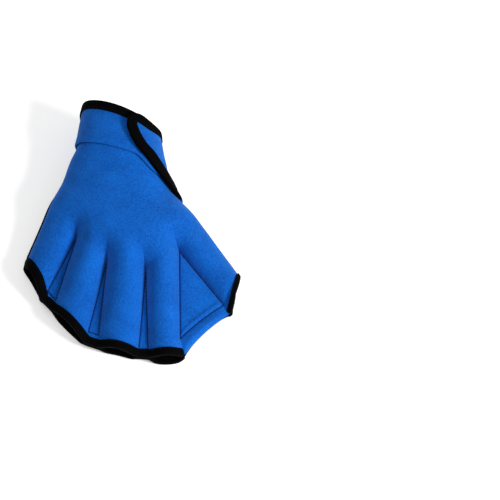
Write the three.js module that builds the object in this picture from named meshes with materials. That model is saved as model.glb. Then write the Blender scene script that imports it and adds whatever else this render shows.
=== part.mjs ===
// A webbed swim glove for the right hand, lying on its palm with the back of the hand up.
// Millimetres, +Z up, fingers towards -Y, thumb towards +X, resting on the plane z = 0.
//
// The glove is a soft tube sewn from foam-backed cloth. Every panel follows one shape that is walked with a
// row and either a share of the hand's width or an angle round the wrist:
//   row -1 cuff rim, row 0 strap seam, row 1 the line through the finger crotches, row 2 the finger ends
//   share 0 and angle 0 little finger's side, angle 90 back of the wrist, share 1 and angle 180 thumb's side

import * as THREE from "three";

// Driving dimensions, in millimetres
const SPAN = 177; // little finger's corner to the thumb's corner
const LENGTH = 219; // finger ends to the cuff rim
const WRIST_DEPTH = 40;
const PALM_DEPTH = 42;
const KNUCKLE_DEPTH = 33;
const FINGER_DEPTH = 22;
const CUFF_LIFT = 6; // the empty cuff stands this far off the table
const PRESS = 1.5; // how far the table flattens the palm
const WALL = 2.2; // foam-backed cloth
const SEAM_GAP = 0.3; // between sewn panels
const STRAP_LAP = 9; // the hand's own edge tucked under the strap
const HOOK_THICKNESS = 1.2;
const TAB_CORNER = 8.5; // radius of the strap tab's top corner
const WRIST_BINDING_WIDTH = 7;
const FINGER_BINDING_WIDTH = 5.3;
const THUMB_BINDING_WIDTH = 3.4;
const BINDING_THICKNESS = 1;
const WEB_CROWN = 0.7; // swell in the middle of a web
const WEB_POINT = 1.2; // width of a web panel's point before its seam gaps
const HEM_SWELL = 2.2; // roll along the edge of the thumb's web
const HEM_HOLLOW = 0.085; // how far that edge is drawn in, as a share of its width
const HEM_ENDS = { edge: 6, swell: 4 }; // powers that fade the edge's rounding and its roll towards its ends

// Cross-sections along the hand. Places on the little finger's and the thumb's side are shares of SPAN and
// LENGTH, lift is how far the underside is off the table, under the share of the depth that lies below the
// side seams, and round the roundness of the back (2 is an ellipse).
const SECTIONS = [
  {
    row: -1, depth: WRIST_DEPTH, under: 0.52, round: 2.1, lift: CUFF_LIFT,
    little: [-0.2255, 0.4292], thumb: [0.104, 0.324],
  },
  {
    row: 0, depth: WRIST_DEPTH, under: 0.52, round: 2.1, lift: CUFF_LIFT,
    little: [-0.2565, 0.29], thumb: [0.1385, 0.19],
  },
  {
    row: 0.25, depth: WRIST_DEPTH, under: 0.52, round: 2.2, lift: CUFF_LIFT / 3,
    little: [-0.291, 0.2329], thumb: [0.172, 0.1461],
  },
  {
    row: 0.5, depth: PALM_DEPTH, under: 0.5, round: 2.3, lift: -PRESS,
    little: [-0.3249, 0.153], thumb: [0.2147, 0.0913],
  },
  {
    row: 0.75, depth: PALM_DEPTH, under: 0.49, round: 2.4, lift: -PRESS,
    little: [-0.3701, 0.0776], thumb: [0.2853, 0.0274],
  },
  {
    row: 1, depth: KNUCKLE_DEPTH, under: 0.5, round: 2.4, lift: -PRESS,
    little: [-0.4124, -0.0082], thumb: [0.3503, -0.0379],
  },
  {
    row: 2, depth: FINGER_DEPTH, under: 0.5, round: 2.4, lift: -PRESS,
    little: [-0.4915, -0.1644], thumb: [0.4972, -0.2055],
  },
];

// Where the digits part, from the little finger's outside to the thumb's, as shares of SPAN and LENGTH.
// apex is the crotch, base the end of the web's stitching and end the edge of the cloth; base and end have
// two sides, the one towards the little finger first. share is the place across the hand.
const PARTINGS = [
  {
    share: 0, apex: [-0.4124, -0.0082],
    base: [[-0.4718, -0.1233], [-0.4718, -0.1233]],
    end: [[-0.4915, -0.1644], [-0.4915, -0.1644]],
  },
  {
    share: 0.198, apex: [-0.2525, -0.0658],
    base: [[-0.3825, -0.2676], [-0.3412, -0.3078]],
    end: [[-0.3944, -0.3059], [-0.3576, -0.3379]],
  },
  {
    share: 0.405, apex: [-0.1096, -0.158],
    base: [[-0.1921, -0.432], [-0.1401, -0.4479]],
    end: [[-0.1955, -0.474], [-0.1412, -0.4895]],
  },
  {
    share: 0.615, apex: [0.0695, -0.1982],
    base: [[0.0395, -0.5], [0.0853, -0.5023]],
    end: [[0.0379, -0.5265], [0.087, -0.5285]],
  },
  {
    share: 0.823, apex: [0.2203, -0.1137],
    base: [[0.2282, -0.4598], [0.426, -0.3247]],
    end: [[0.2514, -0.5228], [0.452, -0.3607]],
  },
  {
    share: 1, apex: [0.3503, -0.0379],
    base: [[0.4746, -0.1781], [0.4746, -0.1781]],
    end: [[0.4972, -0.2055], [0.4972, -0.2055]],
  },
];
const THUMB_WEB = 4; // the parting between index finger and thumb

// crest is the height of a digit's back above its seams as a share of FINGER_DEPTH. backBow and palmBow
// are how far its cloth stands forward at the mouth, as shares of its width.
const DIGITS = [
  { crest: 0.47, backBow: 0.05, palmBow: 0.1 }, // little finger
  { crest: 0.5, backBow: 0.14, palmBow: 0.01 }, // ring finger
  { crest: 0.5, backBow: 0.1, palmBow: -0.04 }, // middle finger
  { crest: 0.5, backBow: 0.12, palmBow: 0.1 }, // index finger
  { crest: 0.47, backBow: 0.03, palmBow: 0.03 }, // thumb
];
const UNDER_CREST = 0.5;
const ARC_POWER = { back: 2, palm: 2.6 }; // a higher power makes a digit's section boxier
const WEB_SLOPE = 0.75; // below 1 rounds a digit's flank where it meets a web
const PALM_ROUND = { wrist: 2.2, hand: 3.4 }; // roundness of the underside
const PALM_FLAT_ROW = 0.5; // the row from which the underside has its full roundness
const VALLEY_START = 0.68; // the row where the dents between the knuckles begin
const CURL_START = 1.5; // the row where the palm's cloth starts to curl up to its binding

const WEBS = [
  { name: "ring_web", parting: 1 },
  { name: "middle_web", parting: 2 },
  { name: "index_web", parting: 3 },
  { name: "thumb_web", parting: THUMB_WEB },
];

// The bound edge of the strap's tab, from the rim down the back of the wrist to the end of the slit.
const TAB_EDGE = [
  { row: -0.9, angle: 104 },
  { row: -0.7, angle: 105.5 },
  { row: -0.46, angle: 109 },
  { row: -0.22, angle: 117 },
  { row: -0.04, angle: 128 },
  { row: 0.12, angle: 141 },
  { row: 0.3, angle: 151 },
  { row: 0.44, angle: 160 },
  { row: 0.555, angle: 170 },
];
// The back panel's cut edge, which the tab covers.
const SLIT = [
  { row: -0.4, angle: 112 },
  { row: -0.2, angle: 122 },
  { row: 0, angle: 134 },
  { row: 0.12, angle: 146 },
  { row: 0.3, angle: 157 },
  { row: 0.44, angle: 168 },
  { row: 0.555, angle: 180 },
];
const SLIT_END = 0.555;
const STRAP_START = 150; // the angle where the strap begins, hidden under its tab
const TAB_END = TAB_EDGE[0].angle;
const TONGUE = { from: 298, to: 318 }; // degrees round from the start where the strap widens over the slit
const CLIMB = { from: 290, to: 345 }; // degrees round from the start where the strap climbs over itself
const SETTLE = { from: -0.1, to: 0.56 }; // rows over which the tab comes down again to the hand
const RIM_BULGE = 0.28; // the rim stands further up the back of the wrist, as a share of the strap's height
const SEAM_BULGE = 0.04; // and so does the strap's lower edge
const BULGE_POWER = 0.8; // below 1 makes that bulge fuller

const HOOK_ANGLES = [116, 144];
const HOOK_ROWS = [-0.85, -0.3];

const BASE_ROW = 1.85; // where every web ends
const BOUND_ROW = 1.92; // where the finger bindings begin
const PALM_ROWS = [0, 0.12, 0.26, 0.42, SLIT_END, 0.66, 0.77, 0.86, 0.93, 1];
const WEB_ROWS = [1.09, 1.2, 1.34, 1.5, 1.68, BASE_ROW];
const EDGE_ROWS = [BOUND_ROW, (BOUND_ROW + 2) / 2, 2];
const DIGIT_STEPS = 6;
const STRAP_STEPS = [0, 0.2, 0.4, 0.54, 0.64, 0.72, 0.79, 0.86, 0.93, 1]; // from its rim to its lower edge
const TURN_STEPS = { round: 32, tongue: 13, side: 15 }; // steps along the strap's three stretches
const SIDE_MARGIN = 6; // degrees past the thumb's side where the third stretch begins
const CORNER_TURNS = [20.5, 16, 12, 8.5, 5.5, 3, 1.2, 0]; // degrees before the tab's edge, at its corner
const NEAR = { angle: 2, turn: 1, row: 0.05, lap: 0.02 }; // small steps that slopes are measured over

// Number helpers
const mix = (a, b, t) => a + (b - a) * t;
const mix2 = (a, b, t) => [mix(a[0], b[0], t), mix(a[1], b[1], t)];
const clamp01 = (t) => Math.min(1, Math.max(0, t));
const smooth = (t) => clamp01(t) ** 2 * (3 - 2 * clamp01(t));
const radians = (degrees) => (degrees * Math.PI) / 180;
const plan = (share) => [share[0] * SPAN, share[1] * LENGTH];
const distance = (a, b) => Math.hypot(a[0] - b[0], a[1] - b[1]);
const range = (count) => Array.from({ length: count }, (_, i) => i);

// A smooth curve through values given at rising keys.
function curve(keys, values, at) {
  const last = keys.length - 1;
  const slope = (k) => {
    const a = Math.max(0, k - 1);
    const b = Math.min(last, k + 1);
    return (values[b] - values[a]) / (keys[b] - keys[a]);
  };
  if (at <= keys[0]) return values[0] + slope(0) * (at - keys[0]);
  if (at >= keys[last]) return values[last] + slope(last) * (at - keys[last]);
  const i = keys.findIndex((key) => key > at) - 1;
  const h = keys[i + 1] - keys[i];
  const t = (at - keys[i]) / h;
  const start = slope(i) * h;
  const finish = slope(i + 1) * h;
  const ease = t * t * (3 - 2 * t);
  return mix(values[i], values[i + 1], ease) + start * t * (1 - t) ** 2 - finish * t * t * (1 - t);
}

const tableCurve = (table, key, column, at) => curve(table.map((r) => r[key]), table.map(column), at);
const along = (column, row) => tableCurve(SECTIONS, "row", column, row);
const sideSections = SECTIONS.filter((s) => s.row <= 1);
const outline = (side, row) =>
  plan([0, 1].map((axis) => tableCurve(sideSections, "row", (s) => s[side][axis], row)));

const underAt = (row) => along((s) => s.depth * s.under, row);
const topAt = (row) => along((s) => s.depth * (1 - s.under), row);
const seamHeight = (row) => along((s) => s.lift, row) + underAt(row);

// A column counts digits from the little finger's outside; its share is its place across the hand.
function shareOf(column) {
  const k = Math.min(4, Math.floor(column));
  return mix(PARTINGS[k].share, PARTINGS[k + 1].share, column - k);
}
function columnOf(share) {
  let k = 0;
  while (k < 4 && share > PARTINGS[k + 1].share) k++;
  return k + (share - PARTINGS[k].share) / (PARTINGS[k + 1].share - PARTINGS[k].share);
}

// The line through the finger crotches.
function crotchLine(column) {
  return plan([0, 1].map((axis) => curve(range(6), PARTINGS.map((p) => p.apex[axis]), column)));
}

// A point of the palm or wrist seen from above.
function palmPlan(share, row) {
  const little = outline("little", row);
  const thumb = outline("thumb", row);
  if (row <= 0) return mix2(little, thumb, share);
  const fan = (s) => mix2(mix2(outline("little", 0), outline("thumb", 0), s), crotchLine(columnOf(s)), row);
  const [at, littleFan, thumbFan] = [share, 0, 1].map(fan);
  return [0, 1].map((a) => at[a] + mix(little[a] - littleFan[a], thumb[a] - thumbFan[a], share));
}

// The seam on one side of a parting, in the finger rows: 0 is the side towards the little finger.
function seamPlan(parting, side, row) {
  const p = PARTINGS[parting];
  const base = plan(p.base[side]);
  const end = plan(p.end[side]);
  if (row <= BASE_ROW) return mix2(plan(p.apex), base, (row - 1) / (BASE_ROW - 1));
  const isThumb = parting > THUMB_WEB || (parting === THUMB_WEB && side === 1);
  const width = isThumb ? THUMB_BINDING_WIDTH : FINGER_BINDING_WIDTH;
  const bound = mix2(end, base, width / distance(end, base));
  if (row <= BOUND_ROW) return mix2(base, bound, (row - BASE_ROW) / (BOUND_ROW - BASE_ROW));
  return mix2(bound, end, (row - BOUND_ROW) / (2 - BOUND_ROW));
}

// A point of a digit seen from above: t runs from -1 at its little finger side to 1.
function digitPlan(digit, t, row, side) {
  const across = (t + 1) / 2;
  const left = seamPlan(digit, 1, row);
  const right = seamPlan(digit + 1, 0, row);
  const straight = mix2(plan(PARTINGS[digit].apex), plan(PARTINGS[digit + 1].apex), across);
  const arch = crotchLine(digit + across);
  const fade = (2 - row) ** 2;
  const mouth = side > 0 ? DIGITS[digit].backBow : DIGITS[digit].palmBow;
  const bow = mouth * (1 - t * t) * (row - 1);
  const forward = [right[1] - left[1], left[0] - right[0]];
  const at = mix2(left, right, across);
  return [0, 1].map((a) => at[a] + (arch[a] - straight[a]) * fade + forward[a] * bow);
}

// Height of the palm or wrist above (side 1) or below (side -1) its side seams, without dents.
function dome(share, row, side) {
  const t = Math.abs(2 * share - 1);
  const palmRound = mix(PALM_ROUND.wrist, PALM_ROUND.hand, smooth(row / PALM_FLAT_ROW));
  const round = side > 0 ? along((s) => s.round, row) : palmRound;
  return (side > 0 ? topAt(row) : underAt(row)) * Math.max(0, 1 - t ** round) ** (1 / round);
}

// How full a digit is at t: 1 on its crest and 0 at its seams.
const webArc = (t, side) => {
  const power = side > 0 ? ARC_POWER.back : ARC_POWER.palm;
  return Math.max(0, 1 - Math.abs(t) ** power) ** WEB_SLOPE;
};
const softArc = (t) => Math.cos((Math.PI * t) / 2) ** 2;
const isOuterHalf = (digit, t) => (digit === 0 && t < 0) || (digit === 4 && t > 0);

function palmHeight(share, row, side) {
  const full = dome(share, row, side);
  const column = columnOf(share);
  const digit = Math.min(4, Math.floor(column));
  const t = 2 * (column - digit) - 1;
  if (row <= VALLEY_START || isOuterHalf(digit, t)) return full;
  const dent = ((row - VALLEY_START) / (1 - VALLEY_START)) ** 2;
  const arc = mix(softArc(t), webArc(t, side), dent);
  return full - dent * (full - WALL) * (1 - arc);
}

function digitHeight(digit, t, row, side) {
  const full = dome(shareOf(digit + (t + 1) / 2), 1, side);
  const crest = FINGER_DEPTH * (side > 0 ? DIGITS[digit].crest : UNDER_CREST);
  const outer = isOuterHalf(digit, t);
  const knuckle = outer ? full : WALL + (full - WALL) * webArc(t, side);
  const tip = outer ? crest * Math.sqrt(1 - t * t) : WALL + (crest - WALL) * webArc(t, side);
  return mix(knuckle, tip, smooth(row - 1));
}

// The table keeps the palm flat. Where the bindings begin the cloth curls up to leave them room.
const floorAt = (row) =>
  (SEAM_GAP * 2 + BINDING_THICKNESS) * smooth((row - CURL_START) / (BASE_ROW - CURL_START));

function atHeight([x, y], height, row, side) {
  const z = seamHeight(row) + side * (SEAM_GAP / 2 + height);
  return new THREE.Vector3(x, y, side < 0 ? Math.max(z, floorAt(row)) : z);
}

const palmPoint = (share, row, side) =>
  atHeight(palmPlan(share, row), palmHeight(share, row, side), row, side);
const digitPoint = (digit, t, row, side) =>
  atHeight(digitPlan(digit, t, row, side), digitHeight(digit, t, row, side), row, side);

// The strip across a web, between the seams on its two sides. The thumb web's end is a rolled hem.
function webPoint(parting, t, row, side) {
  const left = seamPlan(parting, 0, row);
  const right = seamPlan(parting, 1, row);
  const at = mix2(left, right, (t + 1) / 2);
  if (row <= BASE_ROW || parting !== THUMB_WEB) return atHeight(at, WALL, row, side);
  const reach = (row - BASE_ROW) / (2 - BASE_ROW);
  const hollow = HEM_HOLLOW * reach * (1 - t * t);
  const inward = [left[1] - right[1], right[0] - left[0]];
  const swell = HEM_SWELL * Math.sin(Math.PI * reach) * (1 - t ** HEM_ENDS.swell);
  const height = mix(WALL * Math.sqrt(1 - reach * reach), WALL, t ** HEM_ENDS.edge) + swell;
  return atHeight([at[0] + inward[0] * hollow, at[1] + inward[1] * hollow], height, row, side);
}

// The hand's outside as a ring round the wrist.
function ringPoint(angle, row) {
  const share = (1 - Math.cos(radians(angle))) / 2;
  const side = Math.sin(radians(angle)) >= 0 ? 1 : -1;
  const [x, y] = palmPlan(share, row);
  return new THREE.Vector3(x, y, seamHeight(row) + side * dome(share, row, side));
}

function ringNormal(angle, row) {
  const round = ringPoint(angle + NEAR.angle, row).sub(ringPoint(angle - NEAR.angle, row));
  const down = ringPoint(angle, row + NEAR.row).sub(ringPoint(angle, row - NEAR.row));
  return down.cross(round).normalize();
}

// A closed solid from points and faces, with the faces turned outwards.
function closedGeometry(points, faces) {
  const volume = faces.reduce((sum, [a, b, c]) => sum + points[a].dot(points[b].clone().cross(points[c])), 0);
  const outward = volume < 0 ? faces.map(([a, b, c]) => [a, c, b]) : faces;
  const geometry = new THREE.BufferGeometry();
  geometry.setAttribute("position", new THREE.Float32BufferAttribute(points.flatMap((p) => p.toArray()), 3));
  geometry.setIndex(outward.flat());
  geometry.computeVertexNormals();
  return geometry;
}

// Joins an outer and an inner skin with the same triangles into one closed solid.
function solidFromSkins(outer, inner, triangles) {
  const n = outer.length;
  const faces = [];
  const edges = new Map();
  for (const [a, b, c] of triangles) {
    faces.push([a, b, c], [n + a, n + c, n + b]);
    for (const [p, q] of [[a, b], [b, c], [c, a]]) {
      if (!edges.delete(`${q} ${p}`)) edges.set(`${p} ${q}`, [p, q]);
    }
  }
  for (const [p, q] of edges.values()) faces.push([p, n + p, n + q], [p, n + q, q]);
  return closedGeometry([...outer, ...inner], faces);
}

// A grid of points in rows, given a thickness: skins(row, column) returns its outer and its inner point.
function solidFromGrid(rows, columns, skins) {
  const pairs = rows.flatMap((row) => columns.map((column) => skins(row, column)));
  const n = columns.length;
  const triangles = [];
  for (const i of range(rows.length - 1)) {
    for (const j of range(n - 1)) {
      const [a, b, c, d] = [i * n + j, (i + 1) * n + j, (i + 1) * n + j + 1, i * n + j + 1];
      triangles.push([a, b, c], [a, c, d]);
    }
  }
  return solidFromSkins(pairs.map((p) => p[0]), pairs.map((p) => p[1]), triangles);
}

// A sheet of named points and the triangles that join them. hold says which way a point of an edge faces
// its inner skin: "level", "upright" or, with nothing said, square to the cloth.
class Sheet {
  points = [];
  holds = [];
  triangles = [];
  ids = new Map();

  add(key, point, hold) {
    if (this.ids.has(key)) return this.ids.get(key);
    this.ids.set(key, this.points.length);
    this.points.push(point);
    this.holds.push(hold);
    return this.points.length - 1;
  }

  // Joins rows of ids, all the same length.
  join(rows) {
    for (const i of range(rows.length - 1)) {
      for (const j of range(rows[i].length - 1)) {
        const [a, b, c, d] = [rows[i][j], rows[i + 1][j], rows[i + 1][j + 1], rows[i][j + 1]];
        for (const corners of [[a, b, c], [a, c, d]]) {
          if (new Set(corners).size === 3) this.triangles.push(corners);
        }
      }
    }
  }

  get normals() {
    const sums = this.points.map(() => new THREE.Vector3());
    for (const corners of this.triangles) {
      const [a, b, c] = corners.map((i) => this.points[i]);
      const normal = b.clone().sub(a).cross(c.clone().sub(a));
      for (const i of corners) sums[i].add(normal);
    }
    sums.forEach((normal, i) => {
      if (this.holds[i] === "upright") normal.set(0, 0, Math.sign(normal.z));
      if (this.holds[i] === "level") normal.z = 0;
      normal.normalize();
    });
    return sums;
  }

  // A named point of the sheet's outside with the way it faces.
  skin(key) {
    const id = this.ids.get(key);
    return { point: this.points[id], normal: this.normals[id] };
  }

  solid() {
    const inner = this.normals.map((normal, i) => this.points[i].clone().addScaledVector(normal, -WALL));
    return solidFromSkins(this.points, inner, this.triangles);
  }
}

// Hand panels

const digitSteps = range(DIGIT_STEPS + 1).map((i) => -Math.cos((Math.PI * i) / DIGIT_STEPS));
const strapHeight = distance(outline("little", -1), outline("little", 0));
const lapRow = -STRAP_LAP / strapHeight;

// How much of the width the back panel has, up to the slit.
function slitShare(row) {
  if (row >= SLIT_END) return 1;
  return (1 - Math.cos(radians(tableCurve(SLIT, "row", (s) => s.angle, row)))) / 2;
}

function palmGrid(sheet, side) {
  return [lapRow, lapRow / 2, ...PALM_ROWS].map((row) =>
    range(5 * DIGIT_STEPS + 1).map((i) => {
      const digit = Math.min(4, Math.floor(i / DIGIT_STEPS));
      const column = digit + (digitSteps[i - digit * DIGIT_STEPS] + 1) / 2;
      const share = shareOf(column) * (side > 0 ? slitShare(row) : 1);
      const crotch = row === 1 && i % DIGIT_STEPS === 0;
      const hold = share === 0 || share === 1 ? "level" : crotch ? "upright" : "";
      return sheet.add(`palm ${row} ${i}`, palmPoint(share, row, side), hold);
    }),
  );
}

function digitGrid(sheet, digit, side, crotchIds) {
  const first = crotchIds.slice(digit * DIGIT_STEPS, (digit + 1) * DIGIT_STEPS + 1);
  const rows = [...WEB_ROWS, ...EDGE_ROWS].map((row) =>
    digitSteps.map((t, i) => {
      const outer = (digit === 0 && i === 0) || (digit === 4 && i === DIGIT_STEPS);
      const hold = outer ? "level" : i % DIGIT_STEPS === 0 ? "upright" : "";
      return sheet.add(`digit ${digit} ${row} ${i}`, digitPoint(digit, t, row, side), hold);
    }),
  );
  return [first, ...rows];
}

// The strip past a web, and the whole web too where this sheet runs on behind it.
function webGrid(sheet, parting, side, left, right) {
  const steps = parting === THUMB_WEB ? [-1, -0.6, -0.2, 0.2, 0.6, 1] : [-1, 0, 1];
  const rows = [1, ...WEB_ROWS, ...EDGE_ROWS];
  const first = side > 0 ? rows.indexOf(BASE_ROW) : 0;
  return rows.slice(first).map((row, i) =>
    steps.map((t) => {
      if (t === -1) return left[first + i][DIGIT_STEPS];
      if (t === 1 || row === 1) return right[first + i][0];
      const hold = parting === THUMB_WEB && row === 2 ? "level" : "upright";
      return sheet.add(`web ${parting} ${row} ${t}`, webPoint(parting, t, row, side), hold);
    }),
  );
}

// The back (side 1) has holes for the web panels; the palm (side -1) runs on behind them.
function handSheet(side) {
  const sheet = new Sheet();
  const palm = palmGrid(sheet, side);
  const digits = DIGITS.map((_, digit) => digitGrid(sheet, digit, side, palm[palm.length - 1]));
  const webs = WEBS.map(({ parting }) => webGrid(sheet, parting, side, digits[parting - 1], digits[parting]));
  for (const rows of [palm, ...digits, ...webs]) sheet.join(side > 0 ? rows : [...rows].reverse());
  return sheet;
}

// A web lies in the hole that the back leaves for it, a seam's gap inside its edges.
function webSolid(parting) {
  const seamLength = distance(plan(PARTINGS[parting].apex), plan(PARTINGS[parting].base[0]));
  const lastRow = BASE_ROW - (SEAM_GAP / seamLength) * (BASE_ROW - 1);
  const baseWidth = distance(...PARTINGS[parting].base.map(plan));
  const firstRow = 1 + (BASE_ROW - 1) * (WEB_POINT / baseWidth); // where the web is wide enough to be cloth
  const rows = [firstRow, ...WEB_ROWS.slice(0, -1).filter((row) => row > firstRow + NEAR.lap), lastRow];
  return solidFromGrid(rows, [-1, -0.5, 0, 0.5, 1], (row, t) => {
    const width = distance(seamPlan(parting, 0, row), seamPlan(parting, 1, row));
    const crown = WEB_CROWN * (1 - t * t) * Math.sin((Math.PI * (row - firstRow)) / (lastRow - firstRow));
    const outer = webPoint(parting, t * (1 - (2 * SEAM_GAP) / width), row, 1);
    outer.z += crown;
    return [outer, outer.clone().setZ(outer.z - WALL)];
  });
}

// The strap is one long strip. turn counts degrees from its start, round the little finger's side and the
// palm, to the edge of its tab.
const TURN_END = STRAP_START + 360 - TAB_END;
const SIDE_TURN = STRAP_START + 180 + SIDE_MARGIN;
const angleAt = (turn) => STRAP_START - turn;
const backOfWrist = (angle) => Math.max(0, Math.sin(radians(angle))) ** BULGE_POWER;
const TAB_CLEARANCE = HOOK_THICKNESS + 2 * SEAM_GAP;
const STRAP_GAP = 1.5 * SEAM_GAP; // between the hand and the strap over it

function rimRow(turn) {
  const row = -1 - RIM_BULGE * backOfWrist(angleAt(turn));
  const radius = distance(outline("thumb", -1), outline("little", -1)) / 2;
  const arc = radians(TURN_END - turn) * radius;
  if (arc >= TAB_CORNER) return row;
  return row + (TAB_CORNER - Math.sqrt(TAB_CORNER ** 2 - (TAB_CORNER - arc) ** 2)) / strapHeight;
}

function lowerRow(turn) {
  const angle = angleAt(turn) + 360;
  const last = TAB_EDGE[TAB_EDGE.length - 1];
  if (turn > TONGUE.to && angle < last.angle) return tableCurve(TAB_EDGE, "angle", (s) => s.row, angle);
  const seam = -SEAM_BULGE * backOfWrist(angle);
  return mix(seam, last.row, smooth((turn - TONGUE.from) / (TONGUE.to - TONGUE.from)));
}

// How far the strap's inner skin stands off the hand.
function strapLevel(turn, row) {
  const climb = smooth((turn - CLIMB.from) / (CLIMB.to - CLIMB.from));
  const settled = clamp01((row - SETTLE.from) / (SETTLE.to - SETTLE.from));
  return STRAP_GAP + (WALL + TAB_CLEARANCE) * climb * (1 - settled);
}

function strapPoint(turn, row, offset) {
  const angle = angleAt(turn);
  const normal = ringNormal(angle, row);
  return ringPoint(angle, row).addScaledVector(normal, strapLevel(turn, row) + offset);
}

// The turns where the strap is worked out: close together where it bends sharply round the thumb's side
// and at the tab's corner.
const cornerTurns = CORNER_TURNS.map((back) => TURN_END - back);
const steps = (from, to, count) => range(count).map((i) => mix(from, to, i / count));
const strapTurns = [
  ...steps(0, TONGUE.from, TURN_STEPS.round),
  ...steps(TONGUE.from, SIDE_TURN, TURN_STEPS.tongue),
  ...steps(SIDE_TURN, cornerTurns[0], TURN_STEPS.side),
  ...cornerTurns,
];

const strapSolid = () =>
  solidFromGrid(strapTurns, STRAP_STEPS, (turn, t) => {
    const row = mix(rimRow(turn), lowerRow(turn), t);
    return [strapPoint(turn, row, WALL), strapPoint(turn, row, 0)];
  });

// A plain patch of hooks holds the tab down on the strap's start.
const hookSolid = () =>
  solidFromGrid([0, 0.25, 0.5, 0.75, 1], [0, 0.5, 1], (across, down) => {
    const angle = mix(HOOK_ANGLES[0], HOOK_ANGLES[1], across);
    const row = mix(HOOK_ROWS[0], HOOK_ROWS[1], down);
    const turn = STRAP_START - angle;
    const foot = WALL + SEAM_GAP;
    return [strapPoint(turn, row, foot + HOOK_THICKNESS), strapPoint(turn, row, foot)];
  });

// Bindings cover the cloth's outside along an edge, and the edge itself.

// skin lists the cloth's outside from its edge inwards; forward points off the edge.
function bindingSection(skin, forward) {
  const top = SEAM_GAP + BINDING_THICKNESS;
  const beyond = (reach, height) =>
    skin[0].point.clone().addScaledVector(forward, reach).addScaledVector(skin[0].normal, height);
  const over = (height) =>
    skin.slice(1).map(({ point, normal }) => point.clone().addScaledVector(normal, height));
  return [
    beyond(top, -WALL),
    beyond(top, top),
    ...over(top),
    ...over(SEAM_GAP).reverse(),
    beyond(SEAM_GAP, SEAM_GAP),
    beyond(SEAM_GAP, -WALL),
  ];
}

// Joins sections into one strip. A section's first half is its outer side and its second half its inner one.
function solidFromSections(sections) {
  const n = sections[0].length;
  const faces = [];
  const quad = (a, b, c, d) => faces.push([a, b, c], [a, c, d]);
  for (const i of range(sections.length - 1)) {
    for (const j of range(n)) {
      const k = (j + 1) % n;
      const corners = [i * n + j, i * n + k, (i + 1) * n + k, (i + 1) * n + j];
      if (j < n / 2) quad(...corners);
      else quad(...corners.slice(1), corners[0]);
    }
  }
  const last = (sections.length - 1) * n;
  for (const k of range(n / 2 - 1)) {
    quad(n - 1 - k, n - 2 - k, k + 1, k);
    quad(last + k, last + k + 1, last + n - 2 - k, last + n - 1 - k);
  }
  return closedGeometry(sections.flat(), faces);
}

const levelUnit = (v) => v.setZ(0).normalize();

// The ends of some digits on one hand panel, from the first digit's outside to the last one's.
function mouthSections(sheet, digits) {
  const keys = digits.flatMap((digit) => {
    const own = digitSteps.map((_, i) => (row) => `digit ${digit} ${row} ${i}`);
    return digit === digits[0] ? own : [(row) => `web ${digit} ${row} 0`, ...own];
  });
  return keys.map((key) => {
    const skin = [...EDGE_ROWS].reverse().map((row) => sheet.skin(key(row)));
    return bindingSection(skin, levelUnit(skin[0].point.clone().sub(skin[1].point)));
  });
}

// One strip round the mouths: over the back, round the outermost side and along the palm.
function mouthBinding(back, palm, digits, outermost) {
  const over = mouthSections(back, digits);
  const under = mouthSections(palm, digits);
  if (outermost === "first") return solidFromSections([...over.reverse(), ...under.slice(1)]);
  return solidFromSections([...under, ...over.reverse().slice(1)]);
}

// The wrist binding runs round the rim, over the tab's corner and down its edge to the end of the slit.
function wristBinding() {
  const rim = strapTurns.map((turn) => [turn, rimRow(turn)]);
  const slitTurn = STRAP_START + 360 - TAB_EDGE[TAB_EDGE.length - 1].angle;
  const slit = strapTurns.filter((turn) => turn >= slitTurn).reverse();
  const path = [...rim, ...slit.map((turn) => [turn, lowerRow(turn)])];
  const edge = path.map(([turn, row]) => strapPoint(turn, row, WALL));
  const reaches = [0, 0.5, 1].map((share) => share * WRIST_BINDING_WIDTH);
  const sections = path.map(([turn, row], i) => {
    const next = edge[Math.min(i + 1, edge.length - 1)];
    const tangent = next.clone().sub(edge[Math.max(i - 1, 0)]).normalize();
    const normal = ringNormal(angleAt(turn), row);
    const inward = normal.clone().cross(tangent).normalize();
    const skin = reaches.map((reach) => {
      const [t, r] = strapMove(turn, row, inward, reach);
      return { point: strapPoint(t, r, WALL), normal: ringNormal(angleAt(t), r) };
    });
    return bindingSection(skin, inward.clone().negate());
  });
  return solidFromSections(sections);
}

// The turn and row that lie a distance away over the strap's outside.
function strapMove(turn, row, direction, reach) {
  const slope = (turns, rows) =>
    strapPoint(turn + turns, row + rows, WALL)
      .sub(strapPoint(turn - turns, row - rows, WALL))
      .divideScalar(2 * (turns + rows));
  const a = slope(NEAR.turn, 0);
  const b = slope(0, NEAR.lap);
  const det = a.dot(a) * b.dot(b) - a.dot(b) ** 2;
  const turns = (direction.dot(a) * b.dot(b) - direction.dot(b) * a.dot(b)) / det;
  const rows = (direction.dot(b) * a.dot(a) - direction.dot(a) * a.dot(b)) / det;
  return [turn + turns * reach, row + rows * reach];
}

// Materials
const cloth = (color) => new THREE.MeshStandardMaterial({ color, roughness: 0.85, metalness: 0 });
const blue = () => cloth(0x1562c1);
const black = () => cloth(0x0b0b0d);

function addPiece(group, name, geometry, material) {
  const mesh = new THREE.Mesh(geometry, material);
  mesh.name = name;
  group.add(mesh);
}

const glove = new THREE.Group();
const back = handSheet(1);
const palm = handSheet(-1);
addPiece(glove, "back_panel", back.solid(), blue());
addPiece(glove, "palm_panel", palm.solid(), black());
for (const { name, parting } of WEBS) addPiece(glove, name, webSolid(parting), blue());
addPiece(glove, "wrist_strap", strapSolid(), blue());
addPiece(glove, "hook_patch", hookSolid(), black());
addPiece(glove, "wrist_binding", wristBinding(), black());
addPiece(glove, "finger_binding", mouthBinding(back, palm, [0, 1, 2, 3], "first"), black());
addPiece(glove, "thumb_binding", mouthBinding(back, palm, [4], "last"), black());

export default glove;
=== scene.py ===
# A webbed swim glove for the right hand, lying on its palm, with its cloth, tapes and threads.
# The glove is worked out in millimetres in the row's frame, and made in metres.

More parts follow.
